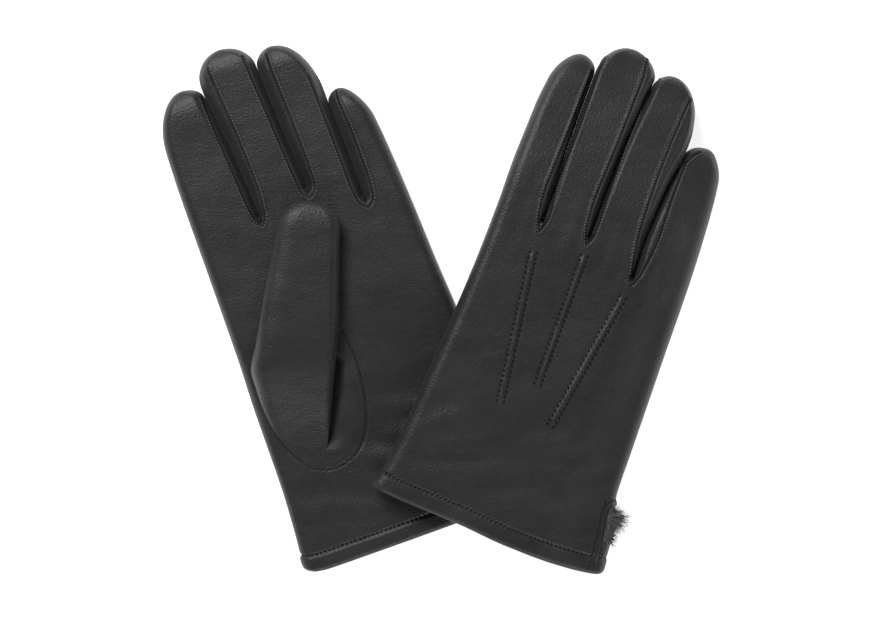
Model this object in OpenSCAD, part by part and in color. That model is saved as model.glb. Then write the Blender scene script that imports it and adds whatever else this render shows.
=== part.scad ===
/* [Leather] */
// Thickness of the leather
leather_t = 1.0; // [0.7:0.1:1.3]
// Thickness of the pile lining
lining_t = 1.9; // [1.2:0.1:2.2]
// Depth of the turned hem at the cuff
hem_depth = 9; // [6:0.5:14]
// Height of the three points above the back
point_h = 0.9; // [0.6:0.1:1.6]

/* [Stalls] */
// Height of a finger stall, lying down
finger_h = 16; // [14:0.5:18]
// Height of the thumb stall, lying down
thumb_h = 12; // [11:0.5:12.5]
// Sideways room between neighbouring fingers
finger_gap = 1.6; // [1.4:0.1:2.4]
// Room between the hand and a finger at the crease
crease_gap = 0.5; // [0.3:0.1:1]

/* [Pair] */
// Lean of the left-hand glove
left_turn = 20; // [18:0.5:22]
// Lean of the right-hand glove
right_turn = -22; // [-24:0.5:-20]
// Height of the right-hand palm over the other cuff
right_lift = 13.5; // [13.3:0.1:16]

/* [Hidden] */
SIDES = ["left", "right"];
FINGERS = ["index", "middle", "ring", "little"];
HAND_PIECES = ["palm_panel", "back_panel", "cuff_hem", "hem_thread", "vent_binding", "hand_lining",
    "points", "thumb_gusset"];
FINGER_PIECES = ["back", "palm", "fourchettes", "lining"];
THUMB_PIECES = ["leather", "lining"];

// Each glove has its own flat frame: u runs across the hand, towards the little finger, and v
// runs along it, from the cuff to the fingertips. Glove 0 is the left one, lying palm up, and
// glove 1 is the right one, lying palm down, so both show the index finger at low u.
LEFT = 0;
RIGHT = 1;
turn = [left_turn, right_turn];
place = [[-10.24, -103.96], [24.51, -106.76]];
floor_room = 0.5;

// Outlines, as [v, u] pairs: the two sides of the hand and fingers, then the lines between fingers
thumb_side = [
    [[-6, -61], [0, -62], [10, -60.6], [40, -58.8], [150, -56.8], [205, -56.2], [225, -54.2]],
    [[-5, -60], [0, -62], [10, -59.2], [40, -57], [110, -55.6], [180, -57.2], [225, -55.5]]
];
little_side = [
    [[-6, 60], [0, 61], [34, 57], [60, 55.5], [100, 54.2], [150, 51.8], [190, 49.5], [210, 45.8]],
    [[-5, 60], [0, 61.2], [34, 55], [60, 52.5], [100, 50.5], [150, 48], [190, 44.2], [210, 41]]
];
between = [
    [[[166, -22.5], [237, -28]], [[172, 4.8], [240, 1.4]], [[158, 30.2], [213, 29.2]]],
    [[[148, -32], [230, -35.5]], [[150, -8], [238, -6.5]], [[139, 19.5], [213, 21.5]]]
];
// Fingertips, as [u, v], from index to little
tips = [
    [[-40, 242], [-12.5, 256], [12, 248], [37, 217]],
    [[-45, 236], [-21.5, 249.5], [3, 243.5], [31, 216]]
];
tip_round = 15;
// Where the fingers bend, for the three long fingers and for the little one
crease = [[172, 161], [165, 154]];
cuff_v = [-6.2, -4.2];
// Height of the hand, as [v, height] pairs
hand_h = [[[50, 12], [118, finger_h]], [[30, 14], [90, finger_h]]];

// The thumb has a frame of its own, t along it and q across it
thumb_root = [[-34, 55], [-34, 43]];
thumb_lean = -24;
thumb_start = [4, 50];
thumb_tip = [-12.5, 120];
thumb_sides = [
    [[0, -19], [13, -27], [35, -35.5], [46, -34], [69, -31.4], [102, -27.3]],
    [[0, 5], [37, 6.4], [56, 7], [106, 4.6]]
];
thumb_z = [floor_room + finger_h + 0.4, 0.3];
// The keyhole seam that the thumb is set into, as its middle and its half sizes
keyhole_at = [[-28, 72], [-26, 66]];
keyhole_r = [25, 31.5];

// The three points on the back, each as its two ends
point_lines = [
    [[[-31, 144], [-18, 66]], [[-7, 152], [-5, 83]], [[18, 139], [10.5, 66]]],
    [[[-31, 137], [-18, 59.5]], [[-7, 145], [-5, 76]], [[17, 132], [10.5, 59]]]
];
point_w = 3.5;

hand_ring = 24;
hand_rows = 7;
hand_power = 8;
stall_ring = 12;
stall_rows = 6;
stall_power = 3;
// Where the slit in the cuff ends
vent_end = 34;
// How far the trims lie off the leather: their undersides, and the hem's outer side
trim_off = 0.25;
band = 0.5;
// How far the leather round the keyhole seam lies off the palm, and its thickness
gusset_off = 0.25;
gusset_t = 0.3;
// How far the points lie off the back
point_off = 0.03;
// How far the lining's outer and inner faces lie inside the leather's outer face
lining_out = leather_t + 0.1;
lining_in = lining_out + lining_t;

function mix(a, b, t) = a + (b - a) * t;
function smooth(t) = let (c = min(1, max(0, t))) c * c * (3 - 2 * c);
// Height of a flattened section at x, from -1 to 1, flat across its middle
function crown(x, power) = min(1, 1.04 * sqrt(max(0, 1 - pow(abs(x), power))));
// Lowest height of a glove's hand: the right one slopes to the floor at its little-finger side
function hand_base(g, u) =
    g == LEFT ? floor_room : mix(right_lift, 1, smooth((u - 20) / 32));
function hand_end(g, u) =
    let (line = between[g][2][0][1])
    mix(crease[g][0], crease[g][1], min(1, max(0, (u - line + 3.5) / 3)));
function side_u(g, v, x, inset) =
    let (low = lookup(v, thumb_side[g]) + inset, high = lookup(v, little_side[g]) - inset)
    mix(low, high, (x + 1) / 2);

// A point on the hand's surface: x is across it, from -1 to 1, and s runs from cuff to crease
function hand_at(g, inset, x, up, s) =
    let (
        v_first = mix(cuff_v[g], crease[g][0], s),
        u = side_u(g, v_first, x, inset),
        v = mix(cuff_v[g], hand_end(g, u), s),
        h = lookup(v, hand_h[g]) / 2
    )
    [u, v, hand_base(g, u) + h + up * crown(x, hand_power) * (h - inset)];
function hand_ring_at(g, inset, k, s) =
    let (a = 360 * k / hand_ring)
    hand_at(g, inset, cos(a), abs(sin(a)) < 0.001 ? 0 : sign(sin(a)), s);
// Height of the hand's upper (up = 1) or lower (up = -1) surface over a place
function surface_z(g, u, v, up) =
    let (
        low = lookup(v, thumb_side[g]),
        high = lookup(v, little_side[g]),
        h = lookup(v, hand_h[g]) / 2
    )
    hand_base(g, u) + h + up * h * crown((2 * u - low - high) / (high - low), hand_power);

function finger_side(g, f, v, right) =
    right ? (f == 3 ? lookup(v, little_side[g]) : lookup(v, between[g][f]) - finger_gap / 2)
          : (f == 0 ? lookup(v, thumb_side[g]) : lookup(v, between[g][f - 1]) + finger_gap / 2);
// How far a stall has narrowed at v, from 1 along its length to almost 0 at its tip
function narrow(v, tip, power) =
    let (past = max(0, (v - tip + tip_round) / tip_round))
    sqrt(max(0.0016, 1 - pow(past, power)));
// Rows lie closer together towards the tip
function row_at(s) = 1 - pow(1 - s, 1.7);
function finger_at(g, f, inset, k, s) =
    let (
        a = 360 * k / stall_ring,
        x = cos(a),
        tip = tips[g][f][1] - inset,
        start = crease[g][f == 3 ? 1 : 0] + crease_gap,
        v = mix(start, tip, row_at(s)),
        low = finger_side(g, f, v, false) + inset,
        high = finger_side(g, f, v, true) - inset,
        near_tip = pow(max(0, (v - tip + tip_round) / tip_round), 2),
        u = mix((low + high) / 2, tips[g][f][0], near_tip) + x * (high - low) / 2 * narrow(v, tip, 2),
        h = (finger_h / 2 - inset) * narrow(v, tip, 3),
        y = abs(sin(a)) < 0.001 ? 0 : sign(sin(a)) * crown(x, stall_power),
        slope = (v - start) / (tips[g][f][1] - start),
        base = g == LEFT ? floor_room : mix(hand_base(g, u), 0, slope)
    )
    [u, v, base + finger_h / 2 + y * h];

function thumb_at(g, inset, k, s) =
    let (
        a = 360 * k / stall_ring,
        x = cos(a),
        tip = thumb_tip[1] - inset,
        t = mix(thumb_start[g], tip, row_at(s)),
        low = lookup(t, thumb_sides[0]) + inset,
        high = lookup(t, thumb_sides[1]) - inset,
        near_tip = pow(max(0, (t - tip + tip_round) / tip_round), 2),
        q = mix((low + high) / 2, thumb_tip[0], near_tip) + x * (high - low) / 2 * narrow(t, tip, 2),
        y = abs(sin(a)) < 0.001 ? 0 : sign(sin(a)) * crown(x, stall_power),
        h = (thumb_h / 2 - inset) * narrow(t, tip, 3),
        c = cos(thumb_lean),
        d = sin(thumb_lean)
    )
    [thumb_root[g][0] + q * c - t * d, thumb_root[g][1] + q * d + t * c, thumb_z[g] + thumb_h / 2 + y * h];

// A closed skin between an outer and an inner grid of points. closed joins each row into a ring,
// and capped shuts the last row, as at a fingertip.
module skin(outer, inner, closed, capped) {
    rows = len(outer);
    cols = len(outer[0]);
    half = rows * cols;
    spans = closed ? cols : cols - 1;
    points = [for (grid = [outer, inner]) for (row = grid) each row];
    function out(i, k) = i * cols + k % cols;
    function in(i, k) = half + out(i, k);
    function quad(a, b, c, d) = [[a, b, c], [a, c, d]];
    last = rows - 1;
    faces = [
        for (i = [0:last - 1]) for (k = [0:spans - 1]) each [
            each quad(out(i, k), out(i, k + 1), out(i + 1, k + 1), out(i + 1, k)),
            each quad(in(i, k), in(i + 1, k), in(i + 1, k + 1), in(i, k + 1))
        ],
        for (k = [0:spans - 1]) each quad(out(0, k + 1), out(0, k), in(0, k), in(0, k + 1)),
        if (!capped) for (k = [0:spans - 1])
            each quad(out(last, k), out(last, k + 1), in(last, k + 1), in(last, k)),
        if (capped) [for (k = [0:cols - 1]) out(last, k)],
        if (capped) [for (k = [cols - 1:-1:0]) in(last, k)],
        if (!closed) for (i = [0:last - 1]) each [
            each quad(out(i, 0), out(i + 1, 0), in(i + 1, 0), in(i, 0)),
            each quad(out(i + 1, cols - 1), out(i, cols - 1), in(i, cols - 1), in(i + 1, cols - 1))
        ]
    ];
    polyhedron(points, faces);
}

module in_place(g) {
    translate([place[g][0], place[g][1], 0]) rotate([0, 0, turn[g]]) children();
}

// The palm is on top of the left-hand glove and underneath the right-hand one
function palm_up(g) = g == LEFT;

function hand_grid(g, inset, first, last, low, high, rows) =
    [for (i = [0:rows - 1]) let (s = mix(low, high, i / (rows - 1)))
        [for (k = [first:last]) hand_ring_at(g, inset, k, s)]];
function stretch_of(g, v) = (v - cuff_v[g]) / (crease[g][0] - cuff_v[g]);
// A point over the flat facets of the hand's panels, so that a trim follows them at an even height
function over_panel(g, inset, k, s) =
    let (
        last = hand_rows - 1,
        part = s * last,
        row = min(last - 1, floor(part))
    )
    mix(hand_ring_at(g, inset, k, row / last), hand_ring_at(g, inset, k, (row + 1) / last), part - row);
module hand_panel(g, up) {
    first = up ? 0 : hand_ring / 2;
    last = first + hand_ring / 2;
    color(up == palm_up(g) ? "#3a3a3c" : "#343436") in_place(g)
        skin(hand_grid(g, 0, first, last, 0, 1, hand_rows),
            hand_grid(g, leather_t, first, last, 0, 1, hand_rows), false, false);
}
module palm_panel(g) {
    hand_panel(g, palm_up(g));
}
module back_panel(g) {
    hand_panel(g, !palm_up(g));
}
module hand_lining(g) {
    color("#8f8d8a") in_place(g)
        skin(hand_grid(g, lining_out, 0, hand_ring - 1, 0, 1, hand_rows),
            hand_grid(g, lining_in, 0, hand_ring - 1, 0, 1, hand_rows), true, false);
}
module trim(g, first, last, stretches, closed) {
    function grid(inset) = [for (s = stretches) [for (k = [first:last]) over_panel(g, inset, k, s)]];
    in_place(g) skin(grid(-band), grid(-trim_off), closed, false);
}
module cuff_hem(g) {
    color("#2e2e30") trim(g, 0, hand_ring - 1, [0, stretch_of(g, cuff_v[g] + hem_depth)], true);
}
module hem_thread(g) {
    low = stretch_of(g, cuff_v[g] + hem_depth + 0.3);
    high = stretch_of(g, cuff_v[g] + hem_depth + 0.9);
    color("#4a4a4c") trim(g, 0, hand_ring - 1, [low, high], true);
}
module vent_binding(g) {
    low = stretch_of(g, cuff_v[g] + hem_depth + 1.2);
    color("#2e2e30") trim(g, -1, 1, [low, 1 / (hand_rows - 1), stretch_of(g, vent_end)], false);
}
module back_points(g) {
    up = palm_up(g) ? -1 : 1;
    rows = 5;
    across = [for (k = [0:3]) point_w * (k / 3 - 0.5) * -up];
    rise = [0.1, 1, 1, 0.1];
    high = g == LEFT ? floor_room - 0.05 : point_h;
    function grid(line, rises) = [for (i = [0:rows - 1]) let (p = mix(line[1], line[0], i / (rows - 1)))
        [for (k = [0:3]) [p[0] + across[k], p[1], surface_z(g, p[0], p[1], up) + up * rises[k]]]];
    color("#2c2c2e") in_place(g) for (line = point_lines[g]) {
        outer = grid(line, [for (r = rise) point_off + 0.02 + high * r]);
        inner = grid(line, [for (r = rise) point_off]);
        skin(outer, inner, false, false);
    }
}
module thumb_gusset(g) {
    up = palm_up(g) ? 1 : -1;
    cols = 16;
    rings = [1, 0.75, 0.4, 0.1];
    function spot(r, k) = [
        keyhole_at[g][0] + r * keyhole_r[0] * cos(-up * 360 * k / cols),
        keyhole_at[g][1] + r * keyhole_r[1] * sin(-up * 360 * k / cols)
    ];
    function grid(rise) = [for (r = rings) [for (k = [0:cols - 1]) let (p = spot(r, k))
        [p[0], p[1], surface_z(g, p[0], p[1], up) + up * rise]]];
    color("#38383a") in_place(g) skin(grid(gusset_off + gusset_t), grid(gusset_off), true, true);
}

function finger_grid(g, f, inset, first, last) =
    [for (i = [0:stall_rows]) [for (k = [first:last]) finger_at(g, f, inset, k, i / stall_rows)]];
module finger_strip(g, f, first, last) {
    skin(finger_grid(g, f, 0, first, last), finger_grid(g, f, leather_t, first, last), false, false);
}
// A finger's outer side has no fourchette, so its back and palm leather meet there in a seam
module finger_panel(g, f, up) {
    half = stall_ring / 2;
    low_side = f == 3 ? 0 : 1;
    high_side = f == 0 ? half : half - 1;
    first = up ? low_side : half + (half - high_side);
    last = up ? high_side : 2 * half - low_side;
    in_place(g) finger_strip(g, f, first, last);
}
module finger_back(g, f) {
    color("#343436") finger_panel(g, f, !palm_up(g));
}
module finger_palm(g, f) {
    color("#3a3a3c") finger_panel(g, f, palm_up(g));
}
module finger_fourchettes(g, f) {
    half = stall_ring / 2;
    color("#303032") in_place(g) {
        if (f < 3) finger_strip(g, f, -1, 1);
        if (f > 0) finger_strip(g, f, half - 1, half + 1);
    }
}
module finger_lining(g, f) {
    color("#8f8d8a") in_place(g)
        skin(finger_grid(g, f, lining_out, 0, stall_ring - 1),
            finger_grid(g, f, lining_in, 0, stall_ring - 1), true, true);
}

function thumb_grid(g, inset) =
    [for (i = [0:stall_rows]) [for (k = [0:stall_ring - 1]) thumb_at(g, inset, k, i / stall_rows)]];
module thumb_leather(g) {
    color("#3c3c3e") in_place(g) skin(thumb_grid(g, 0), thumb_grid(g, leather_t), true, true);
}
module thumb_lining(g) {
    color("#8f8d8a") in_place(g)
        skin(thumb_grid(g, lining_out), thumb_grid(g, lining_in), true, true);
}

for (g = [LEFT, RIGHT]) {
    palm_panel(g);
    back_panel(g);
    cuff_hem(g);
    hem_thread(g);
    vent_binding(g);
    hand_lining(g);
    back_points(g);
    thumb_gusset(g);
    for (f = [0:3]) {
        name = str(SIDES[g], "_", FINGERS[f]);
        finger_back(g, f);
        finger_palm(g, f);
        finger_fourchettes(g, f);
        finger_lining(g, f);
    }
    thumb_leather(g);
    thumb_lining(g);
}
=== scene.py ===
"""A pair of lined leather dress gloves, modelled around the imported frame.

Each glove is laid out in its own flat frame, in millimetres: u runs across the hand towards the
little finger, v from the cuff to the fingertips, and z up from the surface. The left-hand glove
lies palm up and the right-hand one back up, so both show the index finger at low u.
"""
import math

import bpy
import numpy as np
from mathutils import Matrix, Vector
from mathutils.bvhtree import BVHTree
from mathutils.kdtree import KDTree


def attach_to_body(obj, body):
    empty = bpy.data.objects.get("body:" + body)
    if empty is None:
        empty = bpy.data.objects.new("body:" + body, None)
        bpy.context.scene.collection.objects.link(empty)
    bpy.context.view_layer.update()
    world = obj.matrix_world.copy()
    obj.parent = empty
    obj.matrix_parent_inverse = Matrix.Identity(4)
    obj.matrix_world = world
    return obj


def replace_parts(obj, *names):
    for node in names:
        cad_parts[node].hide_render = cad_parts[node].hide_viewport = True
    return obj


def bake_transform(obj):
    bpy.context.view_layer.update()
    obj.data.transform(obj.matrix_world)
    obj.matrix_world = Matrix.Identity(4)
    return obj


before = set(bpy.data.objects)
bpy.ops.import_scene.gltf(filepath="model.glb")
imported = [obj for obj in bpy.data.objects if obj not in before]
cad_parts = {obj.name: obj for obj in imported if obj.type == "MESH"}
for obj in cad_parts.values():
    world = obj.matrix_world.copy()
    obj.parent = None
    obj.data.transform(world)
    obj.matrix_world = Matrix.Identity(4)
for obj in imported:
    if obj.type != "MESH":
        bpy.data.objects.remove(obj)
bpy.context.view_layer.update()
scene = bpy.context.scene
MM = 0.001
FLOOR_CLEAR = 0.05 * MM    # nothing reaches lower than this
FINGERS = ["index", "middle", "ring", "little"]

# ---------------------------------------------------------------- sizes, in millimetres
FLOOR_ROOM = 0.5       # the left-hand glove lies on its three points
FINGER_H = 15.6
RIGHT_LIFT = 13.5      # the right palm's height over the other cuff
EDGE_R = 6.5           # rounding of the hand's sides
HEM = 9.0              # depth of the turned hem
WALL = 2.3             # leather, its turning and the lining, at the cuff
THUMB_TIP_ROUND = 14.0  # length over which the thumb rounds off
SOFT_START = 0.4       # share of a propped finger over which it starts to slope down
TIP_THIN = 13.0        # how far before its tip a stall starts to thin
BASE_BULGE = 1.5       # how far the middle of a finger's base bulges out
CROTCH_RUN = 5.5       # how far the valley between two fingers runs into the hand
BEND_RUN = 20.0        # length over which a finger bends
SWELL = 0.35           # how far the filled glove swells past its flat outline

GLOVES = {
    "left": dict(
        turn=20, place=(-10.24, -103.96), palm_up=True, base_lift=False, valley_r=5.2,
        thumb_side=[(-7, -60), (-4, -61.3), (0, -62), (5, -61.4), (20, -60), (40, -58.9), (80, -58.3),
                    (110, -57.2), (150, -56.8), (190, -56.5), (212, -55.9), (228, -54.6), (245, -53)],
        little_side=[(-7, 59), (0, 61), (20, 59), (50, 56.5), (100, 54.2), (120, 53), (150, 51.8),
                     (180, 50.2), (200, 48.4), (218, 45.4)],
        gaps=[[(170.5, -22.7), (200, -24.2), (237, -28.2)], [(176.5, 4.8), (205, 3), (241, 1.6)],
              [(163, 30.2), (190, 30), (214, 29.4)]],
        outer_crotch=(168, 154),
        tips=[(-38.5, 243.4, 24, 7), (-13.4, 257, 15, 14), (11, 249.6, 9, 29), (36, 218.6, 6, 20)],
        cuff=[(-62, -4.2), (-58, -6), (-50, -6.8), (-20, -7.1), (20, -7.2), (50, -6.6), (61, -3.9)],
        seams=[[(-29.4, 237), (-28.9, 222), (-27.6, 200), (-26.4, 180), (-25.3, 171), (-22.6, 166),
                (-19.6, 171), (-18.2, 185), (-18.6, 205), (-20.6, 237), (-21.5, 249)],
               [(-3.2, 249), (-2, 230), (-0.6, 205), (0.6, 185), (1.2, 176), (4.8, 171.2),
                (9, 176), (9.6, 190), (9.4, 210), (8.4, 240), (8.6, 246)],
               [(24.6, 228), (25, 212), (25.4, 190), (25.6, 170), (26.6, 161), (30.4, 156.6),
                (34.6, 161), (35.8, 175), (35.6, 195), (34.6, 212), (35, 217)]],
        points=[[(-31, 144), (-18, 66)], [(-7, 152), (-5, 83)], [(18, 139), (10.5, 66)]],
        hand_h=[(-10, 12), (50, 12.2), (85, 13.6), (118, 15.6), (170, 15.6)],
        crease=(172, 161), thumb_root=(-34, 55), thumb_rise=(-13, 44)),
    "right": dict(
        turn=-22, place=(24.51, -106.76), palm_up=False, base_lift=True, valley_r=3.4,
        thumb_side=[(-6, -61), (-1, -62.4), (4, -61.2), (12, -59.4), (30, -57.9), (60, -57), (100, -55.9),
                    (125, -55.7), (150, -56.1), (180, -57.2), (205, -57.2), (222, -56), (236, -54.5)],
        little_side=[(-6, 60.4), (0, 61.6), (10, 60.6), (24, 58.6), (33, 55.6), (40, 53.6), (60, 52.5),
                     (80, 51.5), (110, 49.9), (150, 47.9), (180, 45.5), (200, 43), (214, 40)],
        gaps=[[(152, -32.4), (190, -34.4), (232, -35.6)], [(154, -8), (195, -8.8), (239, -6.4)],
              [(143.5, 19.4), (165, 18), (190, 18.6), (211, 21.4)]],
        outer_crotch=(150, 134),
        tips=[(-44.2, 237.8, 18, 8), (-21.2, 250, 18, 12), (2.6, 244.8, 10, 29), (31.4, 217.6, 8, 14)],
        cuff=[(-62, -1), (-57, -2), (-45, -2.6), (-15, -2.9), (11, -4.2), (31, -4.2), (45, -3.6),
              (58, -1.7), (62, -0.4)],
        seams=[[(-37.6, 231), (-37.2, 200), (-37.3, 170), (-35.6, 155), (-32.2, 146.5),
                (-30.4, 155), (-32.6, 172), (-33, 200), (-34, 232), (-33.2, 240)],
               [(-14, 247), (-12.4, 235), (-12.3, 205), (-12.8, 175), (-11.2, 158), (-8.2, 149),
                (-6.2, 156), (-7.2, 175), (-8.2, 205), (-7.6, 232), (-4.6, 240)],
               [(13.2, 236), (12.6, 225), (12.2, 200), (13.4, 170), (16.6, 150), (19.8, 138.5),
                (22.6, 146), (24, 165), (23.2, 185), (23, 205), (25.4, 211), (28, 214)]],
        points=[[(-31.3, 137), (-18.2, 59.5)], [(-7, 145), (-4.6, 76)], [(18.6, 133), (9, 59)]],
        hand_h=[(-10, 13.4), (30, 14), (90, 15.6), (170, 15.6)],
        crease=(165, 154), thumb_root=(-34, 43), thumb_rise=(34, 68)),
}
THUMB_LEAN = -24
THUMB_TIP = (-12.3, 120)
THUMB_H = 12.2
THUMB_LOW = [(-11, -3), (-7, -11), (3, -21), (13, -27.4), (24, -32.2), (35.5, -35.4), (46, -34),
             (69, -31.4), (102, -27.4), (112, -26.4)]
THUMB_HIGH = [(-11, 2.4), (-7, 5), (8, 5.8), (37, 6.5), (56, 7), (81, 5.8), (106, 4.6)]
KEYHOLE = [(-3.2, 104), (-1.6, 88), (-2.8, 73), (-6.2, 59), (-12, 48), (-20, 41.8), (-29, 39.6),
           (-38, 42), (-46, 50.5), (-51.4, 63), (-53.6, 78), (-53.4, 92), (-51.8, 103)]
GUSSET_MIDDLE = (-28, 72)    # the leather swells in an oval inside the keyhole seam
GUSSET_HALF = (25, 32)


# ---------------------------------------------------------------- curves and noise
def curve(points):
    """A smooth function through (position, value) points, constant past its ends."""
    xs, ys = np.array(sorted(points), float).T
    steep = np.diff(ys) / np.diff(xs)
    before, after = np.append(steep[0], steep), np.append(steep, steep[-1])
    same = before * after > 0
    slopes = np.where(same, 2 * before * after / np.where(same, before + after, 1), 0)

    def at(x):
        x = np.clip(np.asarray(x, float), xs[0], xs[-1])
        i = np.clip(np.searchsorted(xs, x, side="right") - 1, 0, len(xs) - 2)
        h = xs[i + 1] - xs[i]
        t = (x - xs[i]) / h
        a = ys[i] * (2 * t**3 - 3 * t**2 + 1) + h * slopes[i] * (t**3 - 2 * t**2 + t)
        return a + ys[i + 1] * (3 * t**2 - 2 * t**3) + h * slopes[i + 1] * (t**3 - t**2)

    return at


def trail(points, step):
    """Points a step apart along a smooth curve through 2-D points."""
    p = np.array(points, float)
    along = np.concatenate([[0], np.cumsum(np.linalg.norm(np.diff(p, axis=0), axis=1))])
    fine = np.linspace(0, along[-1], max(8, int(along[-1] / 0.25)))
    if len(p) > 2:
        smooth = np.stack([curve(list(zip(along, p[:, k])))(fine) for k in (0, 1)], 1)
    else:
        smooth = np.stack([np.interp(fine, along, p[:, k]) for k in (0, 1)], 1)
    run = np.concatenate([[0], np.cumsum(np.linalg.norm(np.diff(smooth, axis=0), axis=1))])
    want = np.arange(step / 2, run[-1], step)
    return np.stack([np.interp(want, run, smooth[:, k]) for k in (0, 1)], 1)


def ramp(x, low, high):
    """0 up to low, 1 from high on, and smooth in between."""
    t = np.clip((np.asarray(x, float) - low) / (high - low), 0, 1)
    return t * t * (3 - 2 * t)


def ripple(u, v, size, seed, waves=14):
    """Smooth noise of about that wavelength, between about -1 and 1."""
    rng = np.random.default_rng(seed)
    total = 0
    for _ in range(waves):
        angle, phase = rng.uniform(0, 2 * math.pi, 2)
        k = 2 * math.pi / (size * rng.uniform(0.7, 1.5))
        total = total + np.sin(k * (u * math.cos(angle) + v * math.sin(angle)) + phase)
    return total / math.sqrt(waves)


def near_path(u, v, path):
    """Distance from each (u, v) to a dense path of points, and the index of the nearest one."""
    tree = KDTree(len(path))
    for i, p in enumerate(path):
        tree.insert((p[0], p[1], 0), i)
    tree.balance()
    found = [tree.find((a, b, 0)) for a, b in zip(u, v)]
    return np.array([f[2] for f in found]), np.array([f[1] for f in found])


# ---------------------------------------------------------------- one glove's shape
class Glove:
    def __init__(self, name):
        data = GLOVES[name]
        self.name = name
        self.data = data
        self.side = [curve(data["thumb_side"]), None, None, None, curve(data["little_side"])]
        self.cuff = curve(data["cuff"])
        self.hand_h = curve(data["hand_h"])
        self.crotch = [data["outer_crotch"][0]] + [g[0][0] for g in data["gaps"]] + [data["outer_crotch"][1]]
        wrist = -8
        for j, gap in enumerate(data["gaps"], start=1):
            low, high = self.side[0](wrist), self.side[4](wrist)
            start = (wrist, low + (high - low) * j / 4)
            v, u = gap[0]
            middle = ((wrist + v) / 2, (start[1] + u) / 2)
            self.side[j] = curve([start, middle] + gap)
        crotch_u = [float(s(v)) for s, v in zip(self.side, self.crotch)]
        self.crotch_v = curve(list(zip(crotch_u, self.crotch)))
        a = math.radians(data["turn"])
        self.c, self.s = math.cos(a), math.sin(a)

    def base(self, u, v, finger):
        """Height of the underside over the surface."""
        if not self.data["base_lift"]:
            return np.full(np.shape(u), FLOOR_ROOM)
        lift = RIGHT_LIFT + (1 - RIGHT_LIFT) * ramp(u, 20, 52)
        crease = self.data["crease"][1 if finger == 3 else 0]
        tip = self.data["tips"][finger][1]
        t = np.clip((v - crease + 4) / (tip - crease + 4), 0, 1)
        down = np.where(t < SOFT_START, t * t / (2 * SOFT_START), t - SOFT_START / 2) / (1 - SOFT_START / 2)
        return lift * (1 - down)

    def finger_start(self, f, x):
        """Where a finger's leather starts, x running from -1 to 1 across it."""
        return np.interp(x, [-1, 1], [self.crotch[f], self.crotch[f + 1]]) + (1 - x * x) * BASE_BULGE

    def place(self, p):
        """From the glove's flat frame, in millimetres, to the row frame, in metres."""
        p = np.asarray(p, float)
        x = p[..., 0] * self.c - p[..., 1] * self.s + self.data["place"][0]
        y = p[..., 0] * self.s + p[..., 1] * self.c + self.data["place"][1]
        return np.stack([x, y, p[..., 2]], -1) * MM

    def spot(self, u, v, z=0.0):
        return tuple(float(a) for a in self.place([u, v, z]))


def edge_shape(d, r):
    """The rounding of an outer edge: 0 at the edge, 1 from r inwards."""
    t = np.clip(1 - d / r, 0, 1)
    return np.sqrt(np.maximum(0, 1 - t**2.2))


def valley_shape(d, r):
    """The side of a finger along its fourchette, which falls away at once from the seam."""
    t = np.clip(1 - d / r, 0, 1)
    return np.maximum(0, 1 - t**1.6) ** 0.62


def rounded(v, end, length):
    """1 until length before end, then round to 0 at the end."""
    return np.sqrt(np.maximum(0, 1 - np.clip((v - end + length) / length, 0, 1) ** 2))


def outline(glove, f, v):
    """The two sides of a finger, or of its share of the hand, and how thin it is at v. Fingers lie
    side against side until they round off to their tips."""
    end_u, end_v, round_low, round_high = glove.data["tips"][f]
    low = glove.side[f](v) - (SWELL if f == 0 else 0)
    high = glove.side[f + 1](v) + (SWELL if f == 3 else 0)
    low = end_u - (end_u - low) * rounded(v, end_v, round_low)
    high = end_u + (high - end_u) * rounded(v, end_v, round_high)
    return low, high, rounded(v, end_v, TIP_THIN) ** 0.85


def surface(glove, f, x, v, up, inset=0.0):
    """A point on the hand or on finger f: x is across it, from -1 to 1. up is 1 on top and -1
    underneath."""
    low, high, flat = outline(glove, f, v)
    middle, half = (low + high) / 2, np.maximum((high - low) / 2, 1e-6)
    u = middle + x * half
    v = np.broadcast_to(v, np.shape(u))
    outer_low, outer_high = f == 0, f == 3
    d_low, d_high = (1 + x) * half, (1 - x) * half
    valley = (valley_shape, glove.data["valley_r"])
    side_low, r_low = (edge_shape, EDGE_R) if outer_low else valley
    side_high, r_high = (edge_shape, EDGE_R) if outer_high else valley
    e_low = side_low(d_low, np.minimum(r_low, half))
    e_high = side_high(d_high, np.minimum(r_high, half))
    if not outer_low:
        deep = np.clip((v - glove.crotch[f] + CROTCH_RUN) / CROTCH_RUN, 0, 1) ** 3
        e_low = 1 - deep * (1 - e_low)
    if not outer_high:
        deep = np.clip((v - glove.crotch[f + 1] + CROTCH_RUN) / CROTCH_RUN, 0, 1) ** 3
        e_high = 1 - deep * (1 - e_high)
    h = np.minimum(glove.hand_h(v), FINGER_H) / 2 * flat
    full = glove.hand_h(v) / 2
    if inset:
        shrink = (full - inset) / full
        h = h * shrink
        slide = inset * (-x)
        u = u + np.where(outer_low & (x < 0), slide, 0) + np.where(outer_high & (x > 0), slide, 0)
    z = glove.base(u, v, f) + full + up * h * e_low * e_high
    return np.stack([u, v, z], -1)


def columns(count, cluster=0.55):
    """Positions from -1 to 1, closer together at both ends."""
    t = np.linspace(-1, 1, count)
    return (1 - cluster) * t + cluster * np.sin(t * math.pi / 2)


TOP_COLS = 46
UNDER_COLS = 17
HAND_STEP = 0.95
TIP_ROWS = 34


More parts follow.
